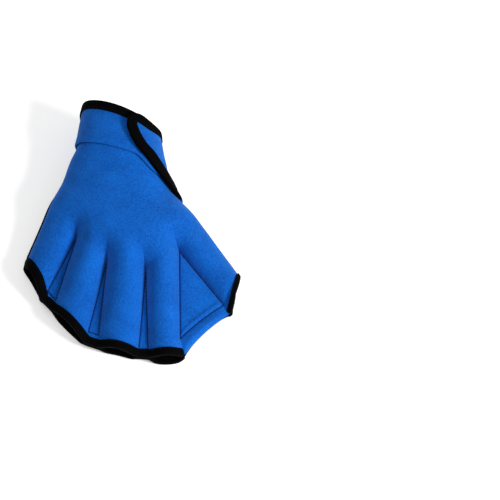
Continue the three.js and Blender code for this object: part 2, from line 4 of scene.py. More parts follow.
import math

import bpy
import numpy as np
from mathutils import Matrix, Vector
from mathutils.kdtree import KDTree


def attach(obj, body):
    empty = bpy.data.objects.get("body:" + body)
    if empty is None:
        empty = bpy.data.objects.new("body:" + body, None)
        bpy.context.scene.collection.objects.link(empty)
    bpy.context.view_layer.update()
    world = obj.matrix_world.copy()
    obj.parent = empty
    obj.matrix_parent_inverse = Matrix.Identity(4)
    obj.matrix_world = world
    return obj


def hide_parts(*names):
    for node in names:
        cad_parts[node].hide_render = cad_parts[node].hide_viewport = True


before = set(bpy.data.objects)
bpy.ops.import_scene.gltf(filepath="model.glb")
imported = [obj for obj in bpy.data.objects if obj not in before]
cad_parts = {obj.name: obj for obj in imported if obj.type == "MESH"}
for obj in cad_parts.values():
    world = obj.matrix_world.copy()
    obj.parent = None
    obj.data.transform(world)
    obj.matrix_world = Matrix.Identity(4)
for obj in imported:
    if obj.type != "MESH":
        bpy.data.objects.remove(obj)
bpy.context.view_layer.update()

MM = 0.001

# Sizes of the glove in millimetres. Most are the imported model's. These follow the photograph more closely:
# TAB_CORNER, HEM_HOLLOW, the little finger's end, the bows, VALLEY_START, TAB_EDGE, CLIMB and BULGE_POWER.
SPAN = 177  # little finger's corner to the thumb's corner
LENGTH = 219  # finger ends to the cuff rim
WRIST_DEPTH = 40
PALM_DEPTH = 42
KNUCKLE_DEPTH = 33
FINGER_DEPTH = 22
CUFF_LIFT = 6  # the empty cuff stands this far off the table
PRESS = 1.5  # how far the table flattens the palm
WALL = 2.2  # foam-backed cloth
SEAM_GAP = 0.3  # between sewn panels
STRAP_LAP = 9  # the hand's own edge tucked under the strap
HOOK_THICKNESS = 1.2
TAB_CORNER = 14  # radius of the strap tab's top corner
WRIST_BINDING_WIDTH = 7
FINGER_BINDING_WIDTH = 5.3
THUMB_BINDING_WIDTH = 3.4
BINDING_THICKNESS = 1
WEB_CROWN = 0.7  # swell in the middle of a web
HEM_SWELL = 2.2  # roll along the edge of the thumb's web
HEM_HOLLOW = 0.055  # how far that edge is drawn in, as a share of its width
HEM_ENDS = {"edge": 6, "swell": 4}  # powers that fade its rounding and its roll towards its ends

# Cross-sections along the hand: row, the little finger's and the thumb's side as shares of SPAN and LENGTH,
# depth, share of it under the side seams, roundness of the back, height of the underside
SECTIONS = [
    (-1, (-0.2255, 0.4292), (0.104, 0.324), WRIST_DEPTH, 0.52, 2.1, CUFF_LIFT),
    (0, (-0.2565, 0.29), (0.1385, 0.19), WRIST_DEPTH, 0.52, 2.1, CUFF_LIFT),
    (0.25, (-0.291, 0.2329), (0.172, 0.1461), WRIST_DEPTH, 0.52, 2.2, CUFF_LIFT / 3),
    (0.5, (-0.3249, 0.153), (0.2147, 0.0913), PALM_DEPTH, 0.5, 2.3, -PRESS),
    (0.75, (-0.3701, 0.0776), (0.2853, 0.0274), PALM_DEPTH, 0.49, 2.4, -PRESS),
    (1, (-0.4124, -0.0082), (0.3503, -0.0379), KNUCKLE_DEPTH, 0.5, 2.4, -PRESS),
    (2, (-0.4915, -0.1644), (0.4972, -0.2055), FINGER_DEPTH, 0.5, 2.4, -PRESS),
]
ROW, LITTLE, THUMB, DEPTH, UNDER, ROUND, LIFT = range(7)

# Where the digits part: share across the hand, crotch, ends of the web's stitching and ends of the cloth
PARTINGS = [
    (0, (-0.4124, -0.0082),
     [(-0.4718, -0.1233), (-0.4718, -0.1233)], [(-0.4835, -0.1655), (-0.4835, -0.1655)]),
    (0.198, (-0.2525, -0.0658),
     [(-0.3825, -0.2676), (-0.3412, -0.3078)], [(-0.3944, -0.3059), (-0.3576, -0.3379)]),
    (0.405, (-0.1096, -0.158),
     [(-0.1921, -0.432), (-0.1401, -0.4479)], [(-0.1955, -0.474), (-0.1412, -0.4895)]),
    (0.615, (0.0695, -0.1982),
     [(0.0395, -0.5), (0.0853, -0.5023)], [(0.0379, -0.5265), (0.087, -0.5285)]),
    (0.823, (0.2203, -0.1137),
     [(0.2282, -0.4598), (0.426, -0.3247)], [(0.2514, -0.5228), (0.452, -0.3607)]),
    (1, (0.3503, -0.0379),
     [(0.4746, -0.1781), (0.4746, -0.1781)], [(0.4972, -0.2055), (0.4972, -0.2055)]),
]
SHARE, APEX, BASE, END = range(4)
THUMB_WEB = 4  # the parting between index finger and thumb

# Height of each digit's back, and how far its cloth stands forward at the mouth on the back and on the palm
CREST = [0.47, 0.5, 0.5, 0.5, 0.47]
BACK_BOW = [-0.03, 0.0, 0.0, 0.06, 0.02]
PALM_BOW = [0.0, 0.02, -0.04, 0.09, -0.04]
UNDER_CREST = 0.5
ARC_POWER = {1: 2, -1: 2.6}  # a higher power makes a digit's section boxier
WEB_SLOPE = 0.75  # below 1 rounds a digit's flank where it meets a web
MOUTH_SLOPE = 1.3  # above 1 blends a digit into the strip past its web
PALM_ROUND = (2.2, 3.4)  # roundness of the underside at the wrist and from PALM_FLAT_ROW on
PALM_FLAT_ROW = 0.5
VALLEY_START = 0.73  # the row where the dents between the knuckles begin
CURL_START = 1.5  # the row where the palm's cloth starts to curl up to its binding
BASE_ROW = 1.85  # where every web ends
BLEND_ROW = BASE_ROW - 0.05  # where a digit starts to blend into the strip past its web
BOUND_ROW = 1.92  # where the finger bindings begin

# The tab's bound edge and the back panel's cut edge under it, as rows and angles round the wrist
TAB_EDGE = [(-0.72, 104), (-0.6, 106.3), (-0.46, 109), (-0.22, 117), (-0.04, 128), (0.12, 141), (0.3, 151),
            (0.44, 160), (0.555, 170)]
SLIT = [(-0.4, 112), (-0.2, 122), (0, 134), (0.12, 146), (0.3, 157), (0.44, 168), (0.555, 180)]
SLIT_END = 0.555
STRAP_START = 150  # the angle where the strap begins, hidden under its tab
START_DROP = 0.26  # how far the strap's lower edge runs down beside its tab
START_DROP_TURN = 42  # degrees from the strap's start over which it rises again
TAB_END = TAB_EDGE[0][1]
TONGUE = (298, 318)  # degrees round from the start where the strap widens over the slit
CLIMB = (303, 358)  # and where it climbs over itself
SETTLE = (-0.1, 0.56)  # rows over which the tab comes down again to the hand
RIM_BULGE = 0.28  # rise of the rim up the back of the wrist, as a share of the strap's height
RIM_FALL = 0.75  # how much of that bulge is lost down the thumb's side of the tab
RIM_FALL_TURN = 55  # degrees over which it is lost
SIDE_RISE = 0.12  # rise of the rim at the little finger's side, as a share of the strap's height
SIDE_RISE_TURN = 38  # degrees over which that rise fades to each side
SEAM_BULGE = 0.04  # rise of the strap's lower edge on the back of the wrist
BULGE_POWER = 0.62  # below 1 makes that bulge fuller
STRAP_GAP = 1.5 * SEAM_GAP
TURN_END = STRAP_START + 360 - TAB_END

# Fine detail
PALM_EDGE = 1.7  # how far the palm's cloth stands out past the back's along the little finger
PALM_EDGE_SHARE = 0.03  # share of the hand's width over which that fades
PALM_EDGE_ROWS = (0.4, 0.9)  # rows over which it begins
PALM_EDGE_FADE = 3.3  # how quickly it fades across the little finger
SEAM_DEPTH = 0.95  # how deep the cloth is drawn in along a seam
SEAM_REACH = 0.7  # and how far to each side
UPRIGHT_REACH = 1.6  # distance from a butted seam over which the cloth's thickness stands upright
QUIET_REACH = 6  # distance from a seam over which the cloth is even
WAVE, RIPPLE = 0.16, 0.05  # heights of its unevenness elsewhere
JOIN_PARTS = 2000  # points in the same of these parts of a millimetre are one point
THREAD = 0.34  # radius of the sewing thread, thick enough that the webs' navy stitches also paint the seams' shadow line
WEB_TIP = 0.4  # a web panel's width where it starts
HEM_DRAW = 0.55  # share of the hem's hollow that its seam has
THUMB_PUFF = 1.3  # swell of the thumb web's cloth along its hem seam
PUFF_AT, PUFF_REACH = 3.2, 2.6  # distance of that swell from the seam, and its reach
STRAP_JOINT = 167  # the angle where the strap's two lengths are sewn end to end
TAB_TAPE = 0.75  # width of the tape along the tab's top, as a share of the rest
TAB_RIM = (262, 285)  # turns over which the tape narrows
TAB_TOP = (340, 375)  # and over which it widens again
# Width of the tapes round the mouths as a share of their own, at places along them from 0 to 1
MOUTH_TAPE = {"finger": ([0, 0.4, 0.5, 0.6, 1], [1, 1, 1.4, 1, 1]), "thumb": ([0, 1], [0.85, 0.85])}
TUCK = 2  # length over which a tape's end is tucked in
TUCKED = 0.25  # share of its section that a tucked end keeps
TAPE_STITCH = 1.45  # distance of the stitches from a tape's own edge
PUCKER = 0.05  # how much a tape swells between its stitches, as a share of its height
STITCH_LENGTH, STITCH_PITCH = 2.4, 2.9
THREAD_RISE = 0.45  # height of the webs' stitches over the bottom of their seams
THREAD_SINK = 0.12  # how deep the stitches lie in a tape
SEAM_START = 6  # points of a web's long seam that its stitches leave out at the crotch

# Steps of the meshes
DIGIT_COLUMNS = 26
STRIP_COLUMNS = (12, 40)  # across the strip past a finger's web, and past the thumb's
WEB_COLUMNS = (20, 36)  # across a finger's web, and the thumb's
STRAP_MIDDLE = 20  # the column of the strap whose length its weave follows
TAPE_STEP = 0.9  # millimetres
NEAR = {"angle": 2, "row": 0.05, "turn": 1, "lap": 0.02}  # small steps that slopes are measured over


def mix(a, b, t):
    return a + (b - a) * t


def smooth(t):
    t = np.clip(t, 0, 1)
    return t * t * (3 - 2 * t)


def ramp(at, ends):
    return smooth((at - ends[0]) / (ends[1] - ends[0]))


def unit(v):
    return v / np.maximum(np.linalg.norm(v, axis=-1, keepdims=True), 1e-9)


def dot(a, b):
    return (a * b).sum(-1)


def point(x, y, z):
    return np.stack(np.broadcast_arrays(x, y, z), axis=-1).astype(float)


def curve(keys, values, at):
    """A smooth curve through values given at rising keys."""
    keys, values, at = (np.asarray(a, float) for a in (keys, values, at))
    last = len(keys) - 1
    low = np.maximum(np.arange(last + 1) - 1, 0)
    high = np.minimum(np.arange(last + 1) + 1, last)
    slopes = (values[high] - values[low]) / (keys[high] - keys[low])
    i = np.clip(np.searchsorted(keys, at, side="right") - 1, 0, last - 1)
    h = keys[i + 1] - keys[i]
    t = np.clip((at - keys[i]) / h, 0, 1)
    inside = mix(values[i], values[i + 1], t * t * (3 - 2 * t))
    inside += slopes[i] * h * t * (1 - t) ** 2 - slopes[i + 1] * h * t * t * (1 - t)
    outside = slopes[0] * np.minimum(at - keys[0], 0) + slopes[last] * np.maximum(at - keys[last], 0)
    return inside + outside


def running_length(line):
    """How far along a line of points each of them lies."""
    return np.concatenate([[0], np.cumsum(np.linalg.norm(np.diff(line, axis=0), axis=1))])


def between(at, keys, places):
    """Places at, or straight between, those that are given at rising keys."""
    return np.stack([np.interp(at, keys, column) for column in places.T], axis=-1)


# The hand's shape, walked by row (-1 cuff rim, 0 strap seam, 1 finger crotches, 2 finger ends) and share
# (0 to 1 across the hand) or column (0 to 5, counting digits)

def along(column, row):
    return curve([s[ROW] for s in SECTIONS], [column(s) for s in SECTIONS], row)


def outline(side, row):
    near = [s for s in SECTIONS if s[ROW] <= 1]
    rows = [s[ROW] for s in near]
    x = curve(rows, [s[side][0] * SPAN for s in near], row)
    y = curve(rows, [s[side][1] * LENGTH for s in near], row)
    return np.stack([x, y], axis=-1)


def under_at(row):
    return along(lambda s: s[DEPTH] * s[UNDER], row)


def top_at(row):
    return along(lambda s: s[DEPTH] * (1 - s[UNDER]), row)


def seam_height(row):
    return along(lambda s: s[LIFT], row) + under_at(row)


SHARES = [p[SHARE] for p in PARTINGS]


def share_of(column):
    return np.interp(column, range(6), SHARES)


def column_of(share):
    return np.interp(share, SHARES, range(6))


def plan(share):
    return np.array(share) * (SPAN, LENGTH)


def crotch_line(column):
    x = curve(range(6), [p[APEX][0] * SPAN for p in PARTINGS], column)
    y = curve(range(6), [p[APEX][1] * LENGTH for p in PARTINGS], column)
    return np.stack([x, y], axis=-1)


def palm_plan(share, row):
    """A point of the palm or wrist seen from above."""
    share, row = np.broadcast_arrays(np.asarray(share, float), np.asarray(row, float))
    s, r = share[..., None], row[..., None]
    little, thumb = outline(LITTLE, row), outline(THUMB, row)
    start = outline(LITTLE, 0.0), outline(THUMB, 0.0)

    def fan(at):
        return mix(mix(start[0], start[1], at[..., None]), crotch_line(column_of(at)), r)

    left, right = fan(np.zeros_like(share)), fan(np.ones_like(share))
    fanned = fan(share) + mix(little - left, thumb - right, s)
    return np.where(r <= 0, mix(little, thumb, s), fanned)


def seam_plan(parting, side, row):
    """The seam on one side of a parting, in the finger rows."""
    p = PARTINGS[parting]
    apex, base, end = plan(p[APEX]), plan(p[BASE][side]), plan(p[END][side])
    is_thumb = parting > THUMB_WEB or (parting == THUMB_WEB and side == 1)
    width = THUMB_BINDING_WIDTH if is_thumb else FINGER_BINDING_WIDTH
    bound = mix(end, base, width / np.linalg.norm(end - base))
    keys = [1, BASE_ROW, BOUND_ROW, 2]
    places = np.array([apex, base, bound, end])
    return between(row, keys, places)


def digit_plan(digit, t, row, side):
    """A point of a digit seen from above: t runs from -1 at its little finger side to 1."""
    across = ((t + 1) / 2)[..., None]
    left, right = seam_plan(digit, 1, row), seam_plan(digit + 1, 0, row)
    straight = mix(plan(PARTINGS[digit][APEX]), plan(PARTINGS[digit + 1][APEX]), across)
    arch = crotch_line(digit + across[..., 0])
    fade = ((2 - row) ** 2)[..., None]
    bow = (BACK_BOW if side > 0 else PALM_BOW)[digit] * (1 - t * t) * (row - 1)
    forward = np.stack([right[..., 1] - left[..., 1], left[..., 0] - right[..., 0]], axis=-1)
    return mix(left, right, across) + (arch - straight) * fade + forward * bow[..., None]


def dome(share, row, side):
    """Height of the palm or wrist above (side 1) or below (side -1) its side seams, without dents."""
    t = np.abs(2 * share - 1)
    power = along(lambda s: s[ROUND], row) if side > 0 else mix(*PALM_ROUND, smooth(row / PALM_FLAT_ROW))
    height = top_at(row) if side > 0 else under_at(row)
    return height * np.maximum(0, 1 - t ** power) ** (1 / power)


def web_arc(t, side, row=1.0):
    slope = mix(WEB_SLOPE, MOUTH_SLOPE, ramp(row, (BLEND_ROW, BOUND_ROW)))
    return np.maximum(0, 1 - np.abs(t) ** ARC_POWER[side]) ** slope


def palm_height(share, row, side):
    full = dome(share, row, side)
    column = column_of(share)
    digit = np.minimum(4, np.floor(column))
    t = 2 * (column - digit) - 1
    outer = ((digit == 0) & (t < 0)) | ((digit == 4) & (t > 0))
    dent = np.maximum(0, (row - VALLEY_START) / (1 - VALLEY_START)) ** 2
    arc = mix(np.cos(math.pi / 2 * t) ** 2, web_arc(t, side), dent)
    return np.where(outer, full, full - dent * (full - WALL) * (1 - arc))


def digit_height(digit, t, row, side):
    full = dome(share_of(digit + (t + 1) / 2), np.ones_like(t), side)
    crest = FINGER_DEPTH * (CREST[digit] if side > 0 else UNDER_CREST)
    outer = (digit == 0) & (t < 0) | (digit == 4) & (t > 0)
    arc = web_arc(t, side, row)
    knuckle = np.where(outer, full, mix(WALL, full, arc))
    tip = np.where(outer, crest * np.sqrt(np.maximum(0, 1 - t * t)), mix(WALL, crest, arc))
    return mix(knuckle, tip, smooth(row - 1))


def at_height(place, height, row, side):
    z = seam_height(row) + side * (SEAM_GAP / 2 + height)
    floor = (2 * SEAM_GAP + BINDING_THICKNESS) * ramp(row, (CURL_START, BASE_ROW))
    return point(place[..., 0], place[..., 1], np.maximum(z, floor) if side < 0 else z)


def palm_point(share, row, side):
    place = palm_plan(share, row)
    if side < 0:
        out = PALM_EDGE * np.exp(-((share / PALM_EDGE_SHARE) ** 2)) * ramp(row, PALM_EDGE_ROWS)
        place = place - np.stack([out, 0 * share], axis=-1)
    return at_height(place, palm_height(share, row, side), row, side)


def digit_point(digit, t, row, side):
    place = digit_plan(digit, t, row, side)
    if side < 0 and digit == 0:
        out = PALM_EDGE * np.exp(-(((t + 1) * PALM_EDGE_FADE) ** 2))
        place = place - np.stack([out, 0 * t], axis=-1)
    return at_height(place, digit_height(digit, t, row, side), row, side)


def web_point(parting, t, row, side):
    """The strip across a web, between the seams on its two sides. The thumb web's end is a rolled hem."""
    t, row = np.broadcast_arrays(np.asarray(t, float), np.asarray(row, float))
    left, right = seam_plan(parting, 0, row), seam_plan(parting, 1, row)
    place = mix(left, right, ((t + 1) / 2)[..., None])
    if parting != THUMB_WEB:
        return at_height(place, WALL, row, side)
    reach = np.clip((row - BASE_ROW) / (2 - BASE_ROW), 0, 1)
    inward = np.stack([left[..., 1] - right[..., 1], right[..., 0] - left[..., 0]], axis=-1)
    drawn = HEM_DRAW * np.clip((row - 1) / (BASE_ROW - 1), 0, 1) ** 3 + (1 - HEM_DRAW) * reach
    place = place + inward * (HEM_HOLLOW * drawn * (1 - t * t))[..., None]
    swell = HEM_SWELL * np.sin(math.pi * reach) * (1 - t ** HEM_ENDS["swell"])
    height = mix(WALL * np.sqrt(1 - reach * reach), WALL, t ** HEM_ENDS["edge"]) + swell
    return at_height(place, height, row, side)


def ring_point(angle, row):
    angle, row = np.broadcast_arrays(np.asarray(angle, float), np.asarray(row, float))
    share = (1 - np.cos(np.radians(angle))) / 2
    above = np.sin(np.radians(angle)) >= 0
    height = np.where(above, dome(share, row, 1), -dome(share, row, -1))
    place = palm_plan(share, row)
    return point(place[..., 0], place[..., 1], seam_height(row) + height)


def ring_normal(angle, row):
    round_it = ring_point(angle + NEAR["angle"], row) - ring_point(angle - NEAR["angle"], row)
    down = ring_point(angle, row + NEAR["row"]) - ring_point(angle, row - NEAR["row"])
    return unit(np.cross(down, round_it))


# The wrist strap, walked by turn (degrees from its hidden start to its tab's edge) and row

STRAP_HEIGHT = float(np.linalg.norm(outline(LITTLE, -1.0) - outline(LITTLE, 0.0)))
CUFF_RADIUS = float(np.linalg.norm(outline(THUMB, -1.0) - outline(LITTLE, -1.0))) / 2
LAP_ROW = -STRAP_LAP / STRAP_HEIGHT


def bulge(turn):
    return np.maximum(0, np.sin(np.radians(STRAP_START - turn))) ** BULGE_POWER


def rim_row(turn):
    short = np.clip(TAB_CORNER - np.radians(TURN_END - turn) * CUFF_RADIUS, 0, TAB_CORNER)
    corner = (TAB_CORNER - np.sqrt(TAB_CORNER ** 2 - short ** 2)) / STRAP_HEIGHT
    fall = 1 - RIM_FALL * ramp(turn, (TURN_END, TURN_END - RIM_FALL_TURN))
    over = np.where(turn > 180, fall, 1)
    side = SIDE_RISE * np.exp(-(((turn - STRAP_START) / SIDE_RISE_TURN) ** 2))
    return -1 - RIM_BULGE * bulge(turn) * over - side + corner


def lower_row(turn):
    angle = STRAP_START - turn + 360
    rows, angles = zip(*TAB_EDGE)
    seam = -SEAM_BULGE * bulge(turn) + START_DROP * ramp(turn, (START_DROP_TURN, 0))
    tongue = mix(seam, rows[-1], ramp(turn, TONGUE))
    return np.where((turn > TONGUE[1]) & (angle < angles[-1]), curve(angles, rows, angle), tongue)


def strap_level(turn, row):
    """How far the strap's inner skin stands off the hand."""
    settled = np.clip((row - SETTLE[0]) / (SETTLE[1] - SETTLE[0]), 0, 1)
    return STRAP_GAP + (WALL + HOOK_THICKNESS + 2 * SEAM_GAP) * ramp(turn, CLIMB) * (1 - settled)


def strap_point(turn, row, offset=WALL):
    angle = STRAP_START - turn
    return ring_point(angle, row) + ring_normal(angle, row) * (strap_level(turn, row) + offset)[..., None]


# Meshes

def grid_faces(rows, columns, first=0, flip=False):
    """Quads over a grid of points that are numbered row by row."""
    i, j = np.meshgrid(np.arange(rows - 1), np.arange(columns - 1), indexing="ij")
    a = (first + i * columns + j).ravel()
    quads = np.stack([a, a + columns, a + columns + 1, a + 1], axis=1)
    return quads[:, ::-1] if flip else quads


def cloth_uv(points, start=None):
    """Places on the flat cloth, in millimetres: across along each row's own length, down along the hand."""
    step = np.hypot(np.diff(points[..., 0], axis=1), np.diff(points[..., 2], axis=1))
    across = np.concatenate([np.zeros((len(points), 1)), np.cumsum(step, axis=1)], axis=1)
    middle = points.shape[1] // 2
    if start is None:
        start = points[:, middle, 0]
    across = across - across[:, [middle]] + np.asarray(start)[:, None]
    return np.stack([across, points[..., 1]], axis=-1)


class Skin:
    """The outside of a cloth, made of grids that are joined where their points meet."""

    def __init__(self):
        self.points = []
        self.uvs = []
        self.faces = []
        self.count = 0

    def add(self, points, uv, flip=False):
        rows, columns = points.shape[:2]
        self.faces.append(grid_faces(rows, columns, self.count, flip))
        self.points.append(points.reshape(-1, 3))
        self.uvs.append(uv.reshape(-1, 2))
        self.count += rows * columns

    def joined(self):
        points, uvs = np.concatenate(self.points), np.concatenate(self.uvs)
        faces = np.concatenate(self.faces)
        keys = np.round(points * JOIN_PARTS).astype(np.int64)
        _, first, inverse = np.unique(keys, axis=0, return_index=True, return_inverse=True)
        return points[first], uvs, faces, inverse.ravel()[faces]


def face_normals(points, faces):
    return np.cross(points[faces[:, 2]] - points[faces[:, 0]], points[faces[:, 3]] - points[faces[:, 1]])


def point_normals(points, faces):
    sums = np.zeros_like(points)
    normals = face_normals(points, faces)
    for corner in range(4):
        np.add.at(sums, faces[:, corner], normals)
    return unit(sums)


def distances(points, lines):
    """How far each point is from the nearest of some lines of points."""
    marks = np.concatenate(lines)
    tree = KDTree(len(marks))
    for i, mark in enumerate(marks):
        tree.insert(mark, i)
    tree.balance()
    return np.array([tree.find(p)[2] for p in points])


def unevenness(points):
    """A slight waviness of hand-sewn foam cloth, in millimetres."""
    x, y, z = points.T
    wave = np.sin(x / 9.1 + 1.3 * np.sin(y / 13.7)) * np.sin(y / 11.3 + 0.9 * np.sin(x / 17.9 + z / 8.3))
    ripple = np.sin(x / 3.7 + y / 5.3) * np.sin(y / 4.1 - x / 6.7 + z / 5.1)
    return WAVE * wave + RIPPLE * ripple


def drawn_in(points, normals, inward, seams, depth, reach):
    """The cloth dips along its seams, and is slightly uneven elsewhere."""
    away = distances(points, seams)
    dip = depth * np.exp(-((away / reach) ** 2))
    quiet = 1 - np.exp(-((away / QUIET_REACH) ** 2))
    return points + normals * (unevenness(points) * quiet)[:, None] - inward * dip[:, None]


def uprighted(points, normals, upright):
    """The cloth's thickness stands upright along the lines where two panels butt."""
    if not len(upright):
        return normals
    near = np.exp(-((distances(points, upright) / UPRIGHT_REACH) ** 2))[:, None]
    return unit(mix(normals, point(0, 0, 1), near))


def make_mesh(name, points, faces, materials, uvs=None, kinds=None):
    """A smooth mesh of quads and triangles, given in millimetres."""
    mesh = bpy.data.meshes.new(name)
    mesh.from_pydata((np.asarray(points) * MM).tolist(), [], [[int(i) for i in f] for f in faces])
    for material in materials:
        mesh.materials.append(material)
    mesh.polygons.foreach_set("use_smooth", np.ones(len(mesh.polygons), bool))
    if kinds is not None:
        mesh.polygons.foreach_set("material_index", np.asarray(kinds, np.int32))
    if uvs is not None:
        layer = mesh.uv_layers.new(name="cloth")
        layer.data.foreach_set("uv", np.asarray(uvs, np.float32).ravel())
    mesh.update()
    o = bpy.data.objects.new(name, mesh)
    bpy.context.scene.collection.objects.link(o)
    return o


def thick_cloth(name, skin, materials, seams=(), depth=SEAM_DEPTH, reach=SEAM_REACH, upright=()):
    """A closed cloth from its outside: face, lining and cut edges each have their own material."""
    points, uvs, raw, faces = skin.joined()
    normals = point_normals(points, faces)
    inward = uprighted(points, normals, upright)
    points = drawn_in(points, normals, inward, seams, depth, reach)
    points[:, 2] = np.maximum(points[:, 2], 0)
    inner = points - uprighted(points, point_normals(points, faces), upright) * WALL
    n = len(points)
    used = {}
    for face in faces.tolist():
        for a, b in zip(face, face[1:] + face[:1]):
            if (b, a) in used:
                del used[(b, a)]
            else:
                used[(a, b)] = True
    rim = [(b, a, n + a, n + b) for a, b in used]
    sources = [*faces.tolist(), *(faces[:, ::-1] + n).tolist(), *rim]
    whole = [tuple(dict.fromkeys(f)) for f in sources]
    kinds = [0] * len(faces) + [1] * len(faces) + [2] * len(rim)
    loops = np.concatenate([uvs[raw], uvs[raw[:, ::-1]], np.zeros((len(rim), 4, 2))])
    order = [i for corners in (4, 3) for i, f in enumerate(whole) if len(f) == corners]
    flat_uv = []
    for i in order:
        seen = set()
        for corner, uv in zip(sources[i], loops[i]):
            if corner not in seen:
                flat_uv.append(uv)
                seen.add(corner)
    return make_mesh(name, np.concatenate([points, inner]), [whole[i] for i in order], materials,
                     np.array(flat_uv) * MM, [kinds[i] for i in order])


def resampled(line, step):
    """A line of points at even steps."""
    length = running_length(line)
    at = np.linspace(0, length[-1], max(3, int(round(length[-1] / step)) + 1))
    return between(at, length, line)


def relaxed(line, rounds):
    """A line of points with its sharp corners eased."""
    line = line.copy()
    for _ in range(rounds):
        line[1:-1] = mix(line[1:-1], (line[:-2] + line[2:]) / 2, 0.5)
    return line


# Materials

def new_material(name, color, roughness, sheen=0.0, specular=0.5):
    material = bpy.data.materials.new(name)
    material.use_nodes = True
    shader = material.node_tree.nodes["Principled BSDF"]
    shader.inputs["Base Color"].default_value = (*color, 1)
    shader.inputs["Roughness"].default_value = roughness
    shader.inputs["Specular IOR Level"].default_value = specular
    shader.inputs["Sheen Weight"].default_value = sheen
    shader.inputs["Sheen Roughness"].default_value = 0.45
    shader.inputs["Sheen Tint"].default_value = (0.35, 0.72, 1, 1)
    return material


class Nodes:
    """Short calls for a material's nodes."""

    def __init__(self, material):
        self.tree = material.node_tree
        self.shader = self.tree.nodes["Principled BSDF"]

    def add(self, kind, inputs=None, **settings):
        node = self.tree.nodes.new(kind)
        for key, value in settings.items():
            setattr(node, key, value)
        for key, value in (inputs or {}).items():
            if isinstance(value, bpy.types.NodeSocket):
                self.tree.links.new(value, node.inputs[key])
            else:
                node.inputs[key].default_value = value
        return node

    def math(self, operation, a, b=0.0):
        return self.add("ShaderNodeMath", {0: a, 1: b}, operation=operation).outputs[0]

    def noise(self, vector, size, detail=3.0, roughness=0.55):
        inputs = {"Vector": vector, "Scale": 1 / (size * MM), "Detail": detail, "Roughness": roughness}
        return self.add("ShaderNodeTexNoise", inputs).outputs["Fac"]

    def shade(self, factor, dark, light):
        inputs = {"Factor": factor, "A": (*dark, 1), "B": (*light, 1)}
        return self.add("ShaderNodeMix", inputs, data_type="RGBA").outputs["Result"]

    def bump(self, height, distance, strength, below=None):
        inputs = {"Height": height, "Distance": distance * MM, "Strength": strength}
        if below is not None:
            inputs["Normal"] = below
        return self.add("ShaderNodeBump", inputs).outputs["Normal"]

    def link(self, output, name):
        self.tree.links.new(output, self.shader.inputs[name])


def knit(nodes, wale, course):
    """Height of a plain jersey knit on the flat cloth: columns of V-shaped loops. Sizes in millimetres."""
    uv = nodes.add("ShaderNodeUVMap", uv_map="cloth").outputs[0]
    parts = nodes.add("ShaderNodeSeparateXYZ", {0: uv})
    across = nodes.math("DIVIDE", parts.outputs[0], wale * MM)
    down = nodes.math("DIVIDE", parts.outputs[1], course * MM)
    side = nodes.math("PINGPONG", across, 0.5)
    slant = nodes.math("ADD", down, nodes.math("MULTIPLY", side, 1.3))
    loops = nodes.math("ADD", nodes.math("SINE", nodes.math("MULTIPLY", slant, 2 * math.pi)), 1.0)
    column = nodes.math("SINE", nodes.math("MULTIPLY", side, 2 * math.pi))
    return nodes.math("MULTIPLY", loops, nodes.math("ADD", column, 0.35))


def jersey(name, dark, light, sheen, roughness, specular):
    """Knitted cloth with a soft nap: broad patches of tone, fine grain and the knit's own loops."""
    material = new_material(name, light, roughness, sheen, specular)
    nodes = Nodes(material)
    place = nodes.add("ShaderNodeTexCoord").outputs["Object"]
    broad = nodes.noise(place, 22, 3)
    grain = nodes.noise(place, 1.6, 4, 0.75)
    loops = knit(nodes, 0.95, 0.8)
    tone = nodes.math("ADD", nodes.math("MULTIPLY", broad, 0.35), nodes.math("MULTIPLY", grain, 0.75))
    tone = nodes.math("ADD", tone, nodes.math("MULTIPLY", loops, 0.09))
    spread = nodes.add("ShaderNodeMapRange", {0: tone, 1: 0.42, 2: 0.84}).outputs[0]
    nodes.link(nodes.shade(spread, dark, light), "Base Color")
    soft = nodes.bump(grain, 0.35, 0.55)
    nodes.link(nodes.bump(loops, 0.14, 0.5, soft), "Normal")
    return material


def tape_material(name, dark, light):
    """Woven tape, ribbed along its length."""
    material = new_material(name, light, 0.8, 0.0, 0.02)
    nodes = Nodes(material)
    uv = nodes.add("ShaderNodeUVMap", uv_map="cloth").outputs[0]
    parts = nodes.add("ShaderNodeSeparateXYZ", {0: uv})
    picks = nodes.math("SINE", nodes.math("MULTIPLY", parts.outputs[0], 2 * math.pi / (0.7 * MM)))
    ends = nodes.math("SINE", nodes.math("MULTIPLY", parts.outputs[1], 2 * math.pi / (0.55 * MM)))
    weave = nodes.math("MULTIPLY", picks, ends)
    grain = nodes.noise(nodes.add("ShaderNodeTexCoord").outputs["Object"], 2.2, 3)
    nodes.link(nodes.shade(grain, dark, light), "Base Color")
    soft = nodes.bump(grain, 0.25, 0.4)
    nodes.link(nodes.bump(weave, 0.1, 0.45, soft), "Normal")
    return material


def thread_material(name, dark, light):
    material = new_material(name, light, 0.7, 0.0, 0.05)
    nodes = Nodes(material)
    grain = nodes.noise(nodes.add("ShaderNodeTexCoord").outputs["Object"], 0.4, 2)
    nodes.link(nodes.shade(grain, dark, light), "Base Color")
    return material


def hook_material(name):
    """A plain field of tiny hooks."""
    material = new_material(name, (0.02, 0.02, 0.022), 0.55, 0.0, 0.4)
    nodes = Nodes(material)
    place = nodes.add("ShaderNodeTexCoord").outputs["Object"]
    inputs = {"Vector": place, "Scale": 1 / (1.3 * MM)}
    dots = nodes.add("ShaderNodeTexVoronoi", inputs).outputs["Distance"]
    nodes.link(nodes.shade(dots, (0.035, 0.035, 0.037), (0.006, 0.006, 0.007)), "Base Color")
    nodes.link(nodes.bump(dots, -0.4, 0.8), "Normal")
    return material


